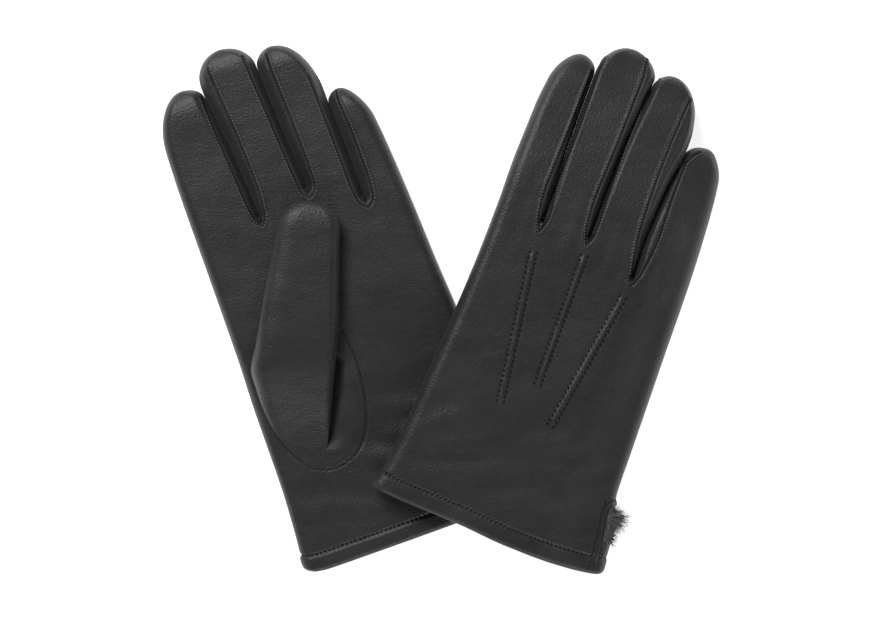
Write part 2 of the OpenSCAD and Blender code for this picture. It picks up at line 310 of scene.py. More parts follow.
def hem_rows():
    """(distance from the cuff's edge, inset) of the rows of the turned hem, from inside to outside."""
    inside = [(d, WALL) for d in (HEM, 6.0, 3.2, 1.6)]
    r = WALL / 2
    roll = [(r * (1 - math.sin(a)), r * (1 + math.cos(a))) for a in np.linspace(0.3, math.pi - 0.3, 7)]
    outside = [(d, 0.0) for d in np.arange(1.4, HEM + 2, 0.5)]
    return inside + roll + outside


class Mesh:
    """Points with a flat place each, and faces with the part of the glove they belong to."""

    def __init__(self):
        self.points, self.flat, self.faces, self.owner = [], [], [], []
        self.count = 0

    def grid(self, rows, flat, owner, flip):
        n, m = rows.shape[:2]
        start = self.count
        self.points.append(rows.reshape(-1, 3))
        self.flat.append(flat.reshape(-1, flat.shape[-1]))
        self.count += n * m
        i, k = np.meshgrid(np.arange(n - 1), np.arange(m - 1), indexing="ij")
        a = start + (i * m + k).ravel()
        quad = np.stack([a, a + 1, a + 1 + m, a + m], 1)
        self.faces.append(quad[:, ::-1] if flip else quad)
        self.owner.append(np.full(len(quad), owner))

    def welded(self):
        points, flat = np.concatenate(self.points), np.concatenate(self.flat)
        faces, owner = np.concatenate(self.faces), np.concatenate(self.owner)
        keys = np.round(points * 500).astype(np.int64)
        _, first, back = np.unique(keys, axis=0, return_index=True, return_inverse=True)
        faces = back.reshape(-1)[faces]
        return points[first], flat[first], faces, owner


HAND = 4


def skin_row(glove, f, x, v, up, inset=0.0):
    """One row of points across a finger or its share of the hand, and the flat place of each with
    its side: 1 on top, -1 underneath and 0 inside the cuff."""
    points = surface(glove, f, x, v, up, inset)
    side = up if inset == 0 else 0
    return points, np.stack([points[:, 0], v, np.full_like(v, side)], -1)


def add_rows(mesh, rows, owner, up):
    points, flat = zip(*rows)
    mesh.grid(np.array(points), np.array(flat), owner, flip=up < 0)


def glove_mesh(glove):
    """The whole leather skin of one glove, without its thumb, as one welded mesh."""
    mesh = Mesh()
    for up, count in ((1, TOP_COLS), (-1, UNDER_COLS)):
        x = columns(count)
        for f in range(4):
            crotch = glove.finger_start(f, x)
            cuff = glove.cuff(np.interp(x, [-1, 1], [glove.side[f](0), glove.side[f + 1](0)]))
            rows = [skin_row(glove, f, x, cuff + d, up, inset) for d, inset in hem_rows()]
            first = cuff + HEM + 2
            steps = int((np.max(crotch) - np.min(first)) / HAND_STEP)
            for s in np.linspace(0, 1, steps + 1)[1:]:
                rows.append(skin_row(glove, f, x, first + (crotch - first) * s, up))
            add_rows(mesh, rows, HAND, up)
            end_v, *rounds = glove.data["tips"][f][1:]
            length = max(*rounds, TIP_THIN)
            start = end_v - length
            rows = [rows[-1]]
            steps = int((start - np.min(crotch)) / HAND_STEP)
            for s in np.linspace(0, 1, steps + 1)[1:]:
                rows.append(skin_row(glove, f, x, crotch + (start - crotch) * s, up))
            for a in np.radians(np.linspace(0, 90, TIP_ROWS)[1:]):
                rows.append(skin_row(glove, f, x, np.full_like(x, start + length * math.sin(a)), up))
            add_rows(mesh, rows, f, up)
    return mesh.welded()


# ---------------------------------------------------------------- relief: seams, hem, ridges, wrinkles
PATH_STEP = 0.25
SEAM_PITCH = 1.55
SEAM_TO_STITCH = 0.95
HEM_PITCH = 2.3
POINT_PITCH = 2.6
POINT_HALF = 1.75      # from the middle of a point to its stitches
FOLD_REACH = 16.0      # how far the fold beside the thumb is felt
TOUCH_RUN = 1.3        # how far from where two fingers touch the relief grows in


def close_to(u, v, path, reach):
    """Distance to a dense path and distance along it, for the points within reach of its box."""
    box = (u > path[:, 0].min() - reach) & (u < path[:, 0].max() + reach)
    box &= (v > path[:, 1].min() - reach) & (v < path[:, 1].max() + reach)
    which = np.flatnonzero(box)
    d, i = near_path(u[which], v[which], path)
    return which, d, i * PATH_STEP


def bell(d, width):
    """1 at no distance, falling smoothly to 0 over about twice the width."""
    return np.exp(-((d / width) ** 2))


def thumb_edge(glove, t):
    """The thumb's edge towards the middle of the palm, in the glove's flat frame."""
    return np.stack(Thumb(glove).flat(t, curve(THUMB_HIGH)(t)), 1)


class Relief:
    """How far each point of the leather stands out from the smooth shape, and how much painted shade
    its colour gets in a seam, a fold or between fingers, from 0 to 1."""

    def __init__(self, glove, flat):
        self.glove = glove
        self.u, self.v, self.side = flat.T
        self.top = self.side > 0
        self.outside = self.side != 0
        self.out = np.zeros(len(self.u))
        self.shade = np.zeros(len(self.u))
        self.hem_d = self.v - glove.cuff(self.u)

    def beside(self, path, reach, allowed):
        """The allowed points near a path, their distance to it and the distance along it."""
        which, d, along = close_to(self.u, self.v, path, reach)
        keep = allowed[which]
        return which[keep], d[keep], along[keep]

    def hem(self):
        raised = ramp(self.hem_d, 0.3, 2.5) * (1 - ramp(self.hem_d, HEM - 2.2, HEM)) * 0.5
        pucker = 0.6 + 0.4 * np.cos(self.u * 2 * math.pi / HEM_PITCH)
        self.out += np.where(self.outside, raised - pucker * bell(self.hem_d - HEM, 0.7), 0)
        # painted shade along the hem's stitch line
        self.shade += np.where(self.outside, 0.25 * pucker * bell(self.hem_d - HEM, 0.6), 0)

    def finger_seams(self):
        for seam in self.glove.data["seams"]:
            which, d, along = self.beside(trail(seam, PATH_STEP), 4, self.top)
            scallop = 0.5 + 0.5 * np.cos(along * 2 * math.pi / SEAM_PITCH)
            self.out[which] += -0.7 * bell(d, 0.45) + (0.3 + 0.14 * scallop) * bell(d - 1.0, 0.5)
            # painted shade along each seam
            self.shade[which] += 0.9 * bell(d, 0.5)

    def back_points(self):
        """The ridges sewn on the back, which only press through faintly where it lies underneath."""
        sewn = not self.glove.data["palm_up"]
        for a, b in self.glove.data["points"]:
            path = trail([a, b], PATH_STEP)
            length = len(path) * PATH_STEP
            which, d, along = self.beside(path, 5, self.top if sewn else self.side < 0)
            ends = ramp(along, 0, 5) * (1 - ramp(along, length - 5, length))
            scallop = 0.4 + 0.6 * np.cos(along * 2 * math.pi / POINT_PITCH)
            ridge = 0.95 * bell(d, 1.2) - 0.55 * scallop * bell(d - POINT_HALF, 0.6)
            self.out[which] += ridge * ends * (1 if sewn else 0.3)

    def keyhole(self):
        """The thumb's keyhole seam, the swell inside it and the fold along the thumb, with painted shade in
        the seam and the fold.
        """
        which, d, _ = self.beside(trail(KEYHOLE, PATH_STEP), 5, self.top)
        self.out[which] += -0.6 * bell(d, 0.5) + 0.15 * bell(d - 1.2, 0.7)
        # painted shade along the keyhole seam
        self.shade[which] += bell(d, 0.42)
        across = (self.u - GUSSET_MIDDLE[0]) / GUSSET_HALF[0]
        up = (self.v - GUSSET_MIDDLE[1]) / GUSSET_HALF[1]
        depth = np.clip(1 - np.sqrt(across**2 + up**2), 0, 1)
        self.out += np.where(self.top, 0.9 * ramp(depth, 0, 0.25), 0)
        edge = thumb_edge(self.glove, np.arange(-4, 112, PATH_STEP))
        which, d, along = self.beside(edge, FOLD_REACH, self.top)
        ends = ramp(along, 0, 8) * (1 - ramp(along, 66, 94))
        fold = bell(d, 3.6) * ends * ramp(depth[which], 0, 0.1)
        self.out[which] -= 2.4 * fold
        # painted shade in the fold beside the thumb
        self.shade[which] += 0.9 * fold

    def ripples(self):
        """The leather's calm waves, folds near the cuff and pulls at the finger bases."""
        u, v, glove = self.u, self.v, self.glove
        on_hand = ramp(self.hem_d, HEM, HEM + 14)
        from_side = np.minimum(u - glove.side[0](v), glove.side[4](v) - u)
        soft = 0.18 * ripple(u, v, 40, 3) + 0.035 * ripple(u, v, 15, 5)
        soft = soft * (0.1 + 0.9 * ramp(from_side, 0, 12))
        lean = math.radians(24 if glove.data["palm_up"] else -30)
        across = u * math.sin(lean) + v * math.cos(lean)
        along = u * math.cos(lean) - v * math.sin(lean)
        folds = ripple(along * 0.3, across, 15, 11) * (1 - ramp(v, 30, 110))
        pull = bell(v - glove.crotch_v(u) - 2, 16) * ripple(u, v * 0.4, 9, 17)
        folds = (0.26 * folds * on_hand + 0.1 * pull) * ramp(from_side, 0, 12)
        lively = (soft + folds) * (0.35 + 0.65 * on_hand)
        self.out += np.where(self.outside, lively, 0.1 * soft)

    def between_fingers(self):
        """A small pit where two fingers part, and no relief where they touch; painted shade in the pit and
        along the touching line.
        """
        for j in (1, 2, 3):
            crotch = self.glove.crotch[j]
            pit = np.hypot(self.u - float(self.glove.side[j](crotch)), self.v - crotch + 1.5)
            from_gap = np.abs(self.u - self.glove.side[j](self.v))
            past = ramp(self.v - crotch, -2.5, 0)
            self.out -= np.where(self.top, 0.5 * bell(pit, 1.5), 0)
            self.out *= 1 - past * (1 - ramp(from_gap, 0, TOUCH_RUN))
            # painted shade in the pit and where two fingers touch
            self.shade += np.where(self.top, 0.8 * bell(pit, 1.6) + 0.8 * past * bell(from_gap, 1.1), 0)


def relief(glove, flat):
    leather = Relief(glove, flat)
    leather.hem()
    leather.finger_seams()
    leather.back_points()
    if glove.data["palm_up"]:
        leather.keyhole()
    leather.ripples()
    leather.between_fingers()
    return leather.out, np.clip(leather.shade, 0, 1)


def normals_of(points, faces):
    a, b, c, d = (points[faces[:, k]] for k in range(4))
    n = np.cross(c - a, d - b)
    total = np.zeros_like(points)
    for k in range(4):
        np.add.at(total, faces[:, k], n)
    return total / np.maximum(np.linalg.norm(total, axis=1, keepdims=True), 1e-12)


# ---------------------------------------------------------------- the thumb
class Thumb:
    """A stall that grows out of the keyhole seam and lies over the palm, or under it."""

    def __init__(self, glove):
        self.glove = glove
        self.low, self.high = curve(THUMB_LOW), curve(THUMB_HIGH)
        a = math.radians(THUMB_LEAN)
        self.c, self.s = math.cos(a), math.sin(a)
        self.out = 1 if glove.data["palm_up"] else -1

    def flat(self, t, q):
        root = self.glove.data["thumb_root"]
        return root[0] + q * self.c - t * self.s, root[1] + q * self.s + t * self.c

    def palm_z(self, u, v):
        h = self.glove.hand_h(v) / 2
        edge = edge_shape(np.maximum(0, u - self.glove.side[0](v)), EDGE_R)
        return self.glove.base(u, v, 1) + h + self.out * h * edge

    def point(self, x, t, outer, tip=None, inset=0.0):
        low, high = self.low(t), self.high(t)
        middle, half = (low + high) / 2, (high - low) / 2 - inset
        narrow, thin = (1.0, 1.0) if tip is None else tip
        if tip is not None:
            middle = middle + (THUMB_TIP[0] - middle) * (1 - narrow) ** 1.5
        half = np.maximum(half * narrow, 1e-6)
        q = middle + x * half
        u, v = self.flat(t, q)
        rise = self.glove.data["thumb_rise"]
        h = np.maximum((THUMB_H * ramp(t, *rise) - 2 * inset) * thin, 0.02) / 2
        attach = (1 - ramp(t, rise[1] - 8, rise[1] + 16)) * ramp(-x, -0.3, 0.9)
        e = edge_shape((1 + x) * half, np.minimum(10, half)) * edge_shape((1 - x) * half, np.minimum(5, half))
        e = e * (1 - 0.05 * x * x)
        mid = THUMB_H * ramp(t, *rise) / 2
        if outer:
            z = mid * (1 - attach) + h * (1 + attach) * e
        else:
            z = mid * (1 - attach) - h * (1 - attach) * e
        gap = 0.15 if outer else 0.0
        return np.stack([u, v, self.palm_z(u, v) + self.out * (z + gap)], -1)

    def mesh(self, inset=0.0, cols=44, step=1.0):
        mesh = Mesh()
        start = self.glove.data["thumb_rise"][0] + (0 if inset == 0 else 24)
        stop = THUMB_TIP[1] - THUMB_TIP_ROUND
        x = columns(cols, 0.8)
        for outer in (True, False):
            rows = [self.point(x, np.full_like(x, t), outer, inset=inset)
                    for t in np.linspace(start, stop, int((stop - start) / step))]
            for a in np.radians(np.linspace(0, 90, 22)[1:]):
                t = np.full_like(x, stop + (THUMB_TIP_ROUND - inset) * math.sin(a))
                narrow = max(0.0, math.cos(a)) ** 0.92
                rows.append(self.point(x, t, outer, (narrow, max(0.0, math.cos(a)) ** 0.8), inset))
            rows = np.array(rows)
            side = np.full(rows.shape[:2] + (1,), 1.0 if outer else -1.0)
            flat = np.concatenate([rows[..., :2], side], -1)
            mesh.grid(rows, flat, 0, flip=outer != (self.out > 0))
        return mesh.welded()


def thumb_relief(flat):
    u, v, side = flat.T
    return np.where(side > 0, 0.1 * ripple(u, v, 30, 23) + 0.02 * ripple(u, v, 11, 29), 0)


# ---------------------------------------------------------------- Blender objects
def polygons(faces):
    """Faces as lists of corners, without repeated ones, such as those at a fingertip."""
    out = []
    for f in faces:
        kept = [int(p) for k, p in enumerate(f) if p != f[k - 1]]
        if len(kept) > 2:
            out.append(kept)
    return out


def tube_faces(rings, count, first=0):
    """Quads between rings of count points each, the points starting at number first."""
    faces = []
    for i in range(rings - 1):
        for k in range(count):
            j, low, high = (k + 1) % count, first + i * count, first + (i + 1) * count
            faces.append([low + k, low + j, high + j, high + k])
    return faces


def make_piece(name, points, faces, material, normals=None, shade=None):
    """A mesh object from points in metres. rest keeps where each point was, for the materials, and
    seam_shade how much painted shade the leather's colour gets there, in seams, folds and between fingers."""
    used = sorted({p for f in faces for p in f})
    index = {p: i for i, p in enumerate(used)}
    mesh = bpy.data.meshes.new(name)
    mesh.from_pydata(points[used].tolist(), [], [[index[p] for p in f] for f in faces])
    mesh.polygons.foreach_set("use_smooth", [True] * len(mesh.polygons))
    where = mesh.attributes.new("rest", "FLOAT_VECTOR", "POINT")
    where.data.foreach_set("vector", (points[used] / MM).astype(np.float32).ravel())
    # seam_shade carries the painted shade into the leather's colour
    deep = mesh.attributes.new("seam_shade", "FLOAT", "POINT")
    deep.data.foreach_set("value", (np.zeros(len(used)) if shade is None else shade[used]).astype(np.float32))
    if normals is not None:
        mesh.normals_split_custom_set_from_vertices(normals[used].tolist())
    mesh.update()
    obj = bpy.data.objects.new(name, mesh)
    scene.collection.objects.link(obj)
    mesh.materials.append(material)
    return obj


def node_tree(name):
    mat = bpy.data.materials.new(name)
    mat.use_nodes = True
    return mat, mat.node_tree.nodes, mat.node_tree.links, mat.node_tree.nodes["Principled BSDF"]


def add(nodes, kind, **values):
    node = nodes.new(kind)
    for key, value in values.items():
        setattr(node, key, value)
    return node


def noise(nodes, links, vector, scale, detail=3.0, roughness=0.5):
    node = add(nodes, "ShaderNodeTexNoise")
    node.inputs["Scale"].default_value = scale
    node.inputs["Detail"].default_value = detail
    node.inputs["Roughness"].default_value = roughness
    links.new(vector, node.inputs["Vector"])
    return node.outputs["Fac"]


def ramp_node(nodes, links, fac, stops):
    node = add(nodes, "ShaderNodeValToRGB")
    while len(node.color_ramp.elements) < len(stops):
        node.color_ramp.elements.new(0.5)
    for element, (at, color) in zip(node.color_ramp.elements, stops):
        element.position = at
        element.color = (*color, 1)
    links.new(fac, node.inputs["Fac"])
    return node.outputs["Color"]


def bump(nodes, links, height, distance, strength, normal=None):
    node = add(nodes, "ShaderNodeBump")
    node.inputs["Distance"].default_value = distance
    node.inputs["Strength"].default_value = strength
    links.new(height, node.inputs["Height"])
    if normal is not None:
        links.new(normal, node.inputs["Normal"])
    return node.outputs["Normal"]


def leather_material(name, dark, light):
    """Smooth dyed leather: a fine grain of pores, short soft creases and a satin finish, darkened by painted
    shade in seams, folds and between fingers.
    """
    mat, nodes, links, shader = node_tree(name)
    rest = add(nodes, "ShaderNodeAttribute", attribute_name="rest").outputs["Vector"]
    # seam_shade: how much painted shade each point gets, in seams, folds and between fingers
    deep = add(nodes, "ShaderNodeAttribute", attribute_name="seam_shade").outputs["Fac"]
    pores = add(nodes, "ShaderNodeTexVoronoi", feature="SMOOTH_F1")
    pores.inputs["Scale"].default_value = 1.1
    pores.inputs["Smoothness"].default_value = 0.5
    links.new(rest, pores.inputs["Vector"])
    squeezed = add(nodes, "ShaderNodeMapping")
    squeezed.inputs["Scale"].default_value = (0.45, 1, 1)
    links.new(rest, squeezed.inputs["Vector"])
    creases = noise(nodes, links, squeezed.outputs["Vector"], 0.5, 6.0, 0.68)
    blotch = noise(nodes, links, squeezed.outputs["Vector"], 0.06, 3.0, 0.55)
    part = add(nodes, "ShaderNodeMath", operation="MULTIPLY")
    links.new(blotch, part.inputs[0])
    part.inputs[1].default_value = 0.5
    tone = add(nodes, "ShaderNodeMath", operation="MULTIPLY_ADD")
    links.new(creases, tone.inputs[0])
    tone.inputs[1].default_value = 0.5
    links.new(part.outputs[0], tone.inputs[2])
    color = ramp_node(nodes, links, tone.outputs[0], [(0.36, dark), (0.64, light)])
    # painted shade: the colour is mixed towards near-black where seam_shade is high
    painted_shade_mix = add(nodes, "ShaderNodeMix", data_type="RGBA")
    links.new(deep, painted_shade_mix.inputs[0])
    links.new(color, painted_shade_mix.inputs[6])
    painted_shade_mix.inputs[7].default_value = (0.0012, 0.0012, 0.0012, 1)
    links.new(painted_shade_mix.outputs[2], shader.inputs["Base Color"])
    # the painted shade also raises the roughness there, dimming the sheen
    rough = ramp_node(nodes, links, deep, [(0.0, (0.47,) * 3), (0.7, (0.9,) * 3)])
    links.new(rough, shader.inputs["Roughness"])
    first = bump(nodes, links, pores.outputs["Distance"], 0.0003, 0.5)
    second = bump(nodes, links, creases, 0.0008, 0.07, first)
    third = bump(nodes, links, blotch, 0.005, 0.1, second)
    links.new(third, shader.inputs["Normal"])
    shader.inputs["Specular IOR Level"].default_value = 0.4
    shader.inputs["Sheen Weight"].default_value = 0.05
    shader.inputs["Sheen Roughness"].default_value = 0.5
    return mat


def fibre_material(name, dark, light, scale, roughness, sheen):
    """Thread or pile: matt fibres that vary from one to the next."""
    mat, nodes, links, shader = node_tree(name)
    rest = add(nodes, "ShaderNodeAttribute", attribute_name="rest").outputs["Vector"]
    fibres = noise(nodes, links, rest, scale, 4.0, 0.7)
    links.new(ramp_node(nodes, links, fibres, [(0.3, dark), (0.7, light)]), shader.inputs["Base Color"])
    links.new(bump(nodes, links, fibres, 0.0006, 0.6), shader.inputs["Normal"])
    shader.inputs["Roughness"].default_value = roughness
    shader.inputs["Specular IOR Level"].default_value = 0.2
    shader.inputs["Sheen Weight"].default_value = sheen
    return mat


LEATHER = leather_material("glove_leather", (0.0145, 0.0144, 0.0144), (0.026, 0.0257, 0.0255))
# the black thread in a lighter grey: painted highlight on the finger-seam stitches
THREAD_PAINTED_HIGHLIGHT = fibre_material("thread_with_painted_highlight", (0.07, 0.07, 0.071), (0.15, 0.15, 0.153), 2.2, 0.5, 0.1)
# the black thread darkened to near-black: painted shade in the hem and point stitches
THREAD_PAINTED_SHADE = fibre_material("thread_with_painted_shade", (0.004, 0.004, 0.004), (0.012, 0.012, 0.012), 2.2, 0.8, 0)
PILE = fibre_material("pile_lining", (0.16, 0.155, 0.15), (0.42, 0.41, 0.39), 0.8, 0.9, 0.4)
FUR = fibre_material("loose_pile", (0.045, 0.045, 0.044), (0.26, 0.258, 0.255), 1.6, 0.8, 0.1)


# ---------------------------------------------------------------- stitches
FINGER_STITCH = (1.0, 0.7)       # length and width of one stitch
HEM_STITCH = (1.35, 0.75)
HEM_STITCH_UNDER = (1.35, 0.6)
POINT_STITCH = (1.4, 0.95)
VENT_STITCH = (1.1, 0.65)
VENT_PITCH = 1.9
STITCH_SIDES = 6
STITCH_RINGS = [(-0.5, 0.25), (-0.36, 0.8), (0, 1.0), (0.36, 0.8), (0.5, 0.25)]


class Stitches:
    """Short stitches, each laid on the leather under it, gathered into one mesh."""

    def __init__(self, glove, tree):
        self.glove, self.tree = glove, tree
        self.points, self.faces = [], []

    def lay(self, path, length, width, from_above=True):
        """Stitches centred on the path's points, along it."""
        way = 1 if from_above else -1
        for i, p in enumerate(path):
            a, b = path[max(0, i - 1)], path[min(len(path) - 1, i + 1)]
            start = Vector(self.glove.spot(p[0], p[1], 60 if from_above else -20))
            hit, normal, _, _ = self.tree.ray_cast(start, Vector((0, 0, -way)))
            if hit is None:
                continue
            if normal.z * way < 0:
                normal = -normal
            along = Vector(self.glove.spot(*b)) - Vector(self.glove.spot(*a))
            along = (along - normal * along.dot(normal)).normalized()
            across = normal.cross(along)
            first = len(self.points)
            for at, size in STITCH_RINGS:
                for k in range(STITCH_SIDES):
                    angle = 2 * math.pi * k / STITCH_SIDES
                    offset = across * math.cos(angle) * width * size / 2
                    offset += normal * (math.sin(angle) * width * size * 0.42 + width * 0.12)
                    point = hit + along * (at * length * MM) + offset * MM
                    point.z = max(point.z, FLOOR_CLEAR)
                    self.points.append(point)
            self.faces += tube_faces(len(STITCH_RINGS), STITCH_SIDES, first)
            last = first + (len(STITCH_RINGS) - 1) * STITCH_SIDES
            self.faces.append([first + k for k in reversed(range(STITCH_SIDES))])
            self.faces.append([last + k for k in range(STITCH_SIDES)])

    def piece(self, name, material):
        points = np.array([tuple(p) for p in self.points])
        obj = make_piece(name, points, self.faces, material)
        return obj


def shifted(path, distance):
    """A path moved sideways, to its right."""
    tangent = np.gradient(path, axis=0)
    tangent /= np.maximum(np.linalg.norm(tangent, axis=1, keepdims=True), 1e-9)
    return path + distance * np.stack([tangent[:, 1], -tangent[:, 0]], 1)


# ---------------------------------------------------------------- pile
def strands(name, roots, ways, lengths, thickness, seed, material):
    """Loose fibres, each a thin curved spike of three sides."""
    rng = np.random.default_rng(seed)
    points, faces = [], []
    steps = 5
    for root, way, length in zip(roots, ways, lengths):
        root, way = Vector(root), Vector(way).normalized()
        bend = Vector(rng.normal(0, 0.35, 3))
        side = way.cross(Vector((0, 0, 1)))
        side = side.normalized() if side.length > 1e-4 else Vector((1, 0, 0))
        other = way.cross(side)
        first = len(points)
        for s in range(steps):
            t = s / (steps - 1)
            centre = root + (way * t + bend * t * t * 0.6) * length
            r = thickness * (1 - 0.85 * t)
            for k in range(3):
                a = 2 * math.pi * k / 3
                point = centre + (side * math.cos(a) + other * math.sin(a)) * r
                points.append((point.x, point.y, max(point.z, FLOOR_CLEAR)))
        faces += tube_faces(steps, 3, first)
        end = first + (steps - 1) * 3
        faces.append([end, end + 1, end + 2])
        faces.append([first + 2, first + 1, first])
    obj = make_piece(name, np.array(points), faces, material)
    return obj


# ---------------------------------------------------------------- linings
STALL_INSET = 1.9


def stall_lining(glove, f):
    """Closed rings round the inside of a finger, smaller towards its tip."""
    start = glove.data["crease"][1 if f == 3 else 0] + 1
    end = glove.data["tips"][f][1]
    a = np.linspace(0, 2 * math.pi, 20, endpoint=False)
    x, y = np.cos(a), np.sin(a)
    shape = np.sign(y) * np.sqrt(np.maximum(0, 1 - np.abs(x) ** 3))
    rows = []
    for s in 1 - (1 - np.linspace(0, 0.985, 22)) ** 1.7:
        low, high, thin = outline(glove, f, np.array(start + (end - start) * s))
        v = np.full_like(x, start + (end - STALL_INSET - start) * s)
        u = (low + high) / 2 + x * max((high - low) / 2 - STALL_INSET, 0.1)
        full = glove.hand_h(v) / 2
        z = glove.base(u, v, f) + full + shape * np.maximum(full * thin - STALL_INSET, 0.1)
        rows.append(np.stack([u, v, z], -1))
    count = len(x)
    faces = tube_faces(len(rows), count)
    faces.append([(len(rows) - 1) * count + k for k in range(count)])
    return np.concatenate(rows), faces


def hand_lining(glove):
    mesh = Mesh()
    for up in (1, -1):
        x = columns(20)
        for f in range(4):
            cuff_u = np.interp(x, [-1, 1], [glove.side[f](0), glove.side[f + 1](0)])
            first = glove.cuff(cuff_u) + HEM - 1.5
            last = np.interp(x, [-1, 1], [glove.crotch[f], glove.crotch[f + 1]]) - CROTCH_RUN - 3
            rows, flat = [], []
            for s in np.linspace(0, 1, 60):
                v = first + (last - first) * s
                p = surface(glove, f, x, v, up, WALL + 0.5 + (0 if s < 0.97 else 2.5))
                p[:, 2] += up * 0.35 * ripple(p[:, 0], v, 7, 31 + up)
                rows.append(p)
                flat.append(np.stack([p[:, 0], v, np.full_like(v, up)], -1))
            mesh.grid(np.array(rows), np.array(flat), 0, flip=up > 0)
    return mesh.welded()


# ---------------------------------------------------------------- building a glove
def outwards(points, faces):
    """The faces and their normals, turned outwards as judged at the highest point."""
    normals = normals_of(points, faces)
    if normals[np.argmax(points[:, 2]), 2] > 0:
        return faces, normals
    return faces[:, ::-1], -normals


class Skin:
    """The leather of one glove, in its place, from which its pieces are cut."""

    def __init__(self, glove):
        points, flat, faces, self.owner = glove_mesh(glove)
        self.faces, normals = outwards(points, faces)
        out, self.shade = relief(glove, flat)
        points = points + normals * out[:, None]
        points[:, 2] = np.maximum(points[:, 2], FLOOR_CLEAR / MM)
        normals = normals_of(points, self.faces)
        self.points = glove.place(points)
        self.normals = np.stack([normals[:, 0] * glove.c - normals[:, 1] * glove.s,
                                 normals[:, 0] * glove.s + normals[:, 1] * glove.c, normals[:, 2]], -1)
        self.tree = BVHTree.FromPolygons(self.points.tolist(), self.faces.tolist())

    def piece(self, name, owner, replaced):
        own = polygons(self.faces[self.owner == owner])
        obj = make_piece(name, self.points, own, LEATHER, self.normals, self.shade)
        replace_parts(obj, *replaced)
        return obj


def seam_stitches(glove, skin, f):
    """The stitches along one finger's share of the seams on either side of it."""
    sewing = Stitches(glove, skin.tree)
    for j, offset in ((f - 1, 1), (f, -1)):
        if not 0 <= j <= 2:
            continue
        seam = glove.data["seams"][j]
        turn_at = min(range(len(seam)), key=lambda i: seam[i][1])
        branch = seam[turn_at:] if offset > 0 else seam[: turn_at + 1]
        sewing.lay(shifted(trail(branch, SEAM_PITCH), SEAM_TO_STITCH), *FINGER_STITCH)
    return sewing


def build_finger(glove, skin, f):
    """A finger's leather, lining and stitches."""
    hand, body = f"{glove.name}_hand", f"{glove.name}_{FINGERS[f]}"
    middle_u = (float(glove.side[0](150)) + float(glove.side[4](150))) / 2
    near = float(np.max(glove.finger_start(f, columns(TOP_COLS))))
    bend = dict(start=glove.spot(middle_u, near), end=glove.spot(middle_u, near + BEND_RUN))
    replaced = [f"{body}_{part}" for part in ("back", "palm", "fourchettes")]
    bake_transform(skin.piece(f"{body}_leather", f, replaced))
    rows, ring_faces = stall_lining(glove, f)
    inner = make_piece(f"{body}_pile", glove.place(rows), ring_faces, PILE)
    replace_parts(inner, f"{body}_lining")
    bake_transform(inner)
    sewing = seam_stitches(glove, skin, f)
    if sewing.points:
        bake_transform(sewing.piece(f"{body}_stitches", THREAD_PAINTED_HIGHLIGHT))


def build_hand(glove, skin):
    """The hand's leather, its stitches, the slit at the cuff and the lining."""
    hand = f"{glove.name}_hand"
    parts = ["palm_panel", "back_panel", "cuff_hem", "points", "thumb_gusset"]
    if glove.name == "left":
        parts.append("vent_binding")
    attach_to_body(skin.piece(f"{hand}_leather", HAND, [f"{glove.name}_{part}" for part in parts]), hand)
    sewing = Stitches(glove, skin.tree)
    us = np.arange(float(glove.side[0](6)) + 3, float(glove.side[4](6)) - 8, HEM_PITCH)
    hem_path = np.stack([us, glove.cuff(us) + HEM], 1)
    sewing.lay(hem_path, *HEM_STITCH)
    sewing.lay(hem_path, *HEM_STITCH_UNDER, from_above=False)
    for a, b in glove.data["points"]:
        for way in (-1, 1):
            path = shifted(trail([a, b], POINT_PITCH), way * POINT_HALF)
            sewing.lay(path, *POINT_STITCH, from_above=not glove.data["palm_up"])
    if glove.name == "right":
        sewing.lay(trail(VENT_STITCHES, VENT_PITCH), *VENT_STITCH)
        build_vent(glove, skin.tree)
    thread = sewing.piece(f"{hand}_stitches", THREAD_PAINTED_SHADE)
    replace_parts(thread, f"{glove.name}_hem_thread")
    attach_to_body(thread, hand)
    points, _, faces, _ = hand_lining(glove)
    inner = make_piece(f"{hand}_pile", glove.place(points), polygons(faces), PILE)
    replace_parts(inner, f"{glove.name}_hand_lining")
    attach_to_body(inner, hand)


def build(name):
    glove = Glove(name)
    skin = Skin(glove)
    for f in range(len(FINGERS)):
        build_finger(glove, skin, f)
    build_hand(glove, skin)
    build_thumb(glove)


def build_thumb(glove):
    name = glove.name
    thumb = Thumb(glove)
    points, flat, faces, _ = thumb.mesh()
    faces, normals = outwards(points, faces)
    points = points + normals * thumb_relief(flat)[:, None]
    points[:, 2] = np.maximum(points[:, 2], FLOOR_CLEAR / MM)
    leather = make_piece(f"{name}_thumb_stall", glove.place(points), polygons(faces), LEATHER)
    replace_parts(leather, f"{name}_thumb_leather")
    points, _, faces, _ = thumb.mesh(inset=STALL_INSET, cols=16, step=4)
    inner = make_piece(f"{name}_thumb_pile", glove.place(points), polygons(faces), PILE)
    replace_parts(inner, f"{name}_thumb_lining")
    rise = glove.data["thumb_rise"]
    start, end = thumb.flat(rise[0] + 2, 0), thumb.flat(rise[1] - 4, 0)
    for piece in (leather, inner):
        glove.spot(*start)
        glove.spot(*end)
        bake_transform(piece)


VENT_STITCHES = [(49.6, 34.5), (49.8, 28.5), (50.9, 22.5), (52.4, 13), (53.4, 6), (54, -1)]
VENT_EDGE = [(53.4, 36.6), (51.7, 31.5), (52.3, 25), (53.9, 17.5), (55.4, 9.5), (57, 0.5)]
FLAP_EDGE = [(53.4, 36.6), (55.2, 35.6), (56, 33.5)]
PIPING_R = 0.55
TUFT_STRANDS = 900
TUFT_R = 0.2            # of one fibre at its root


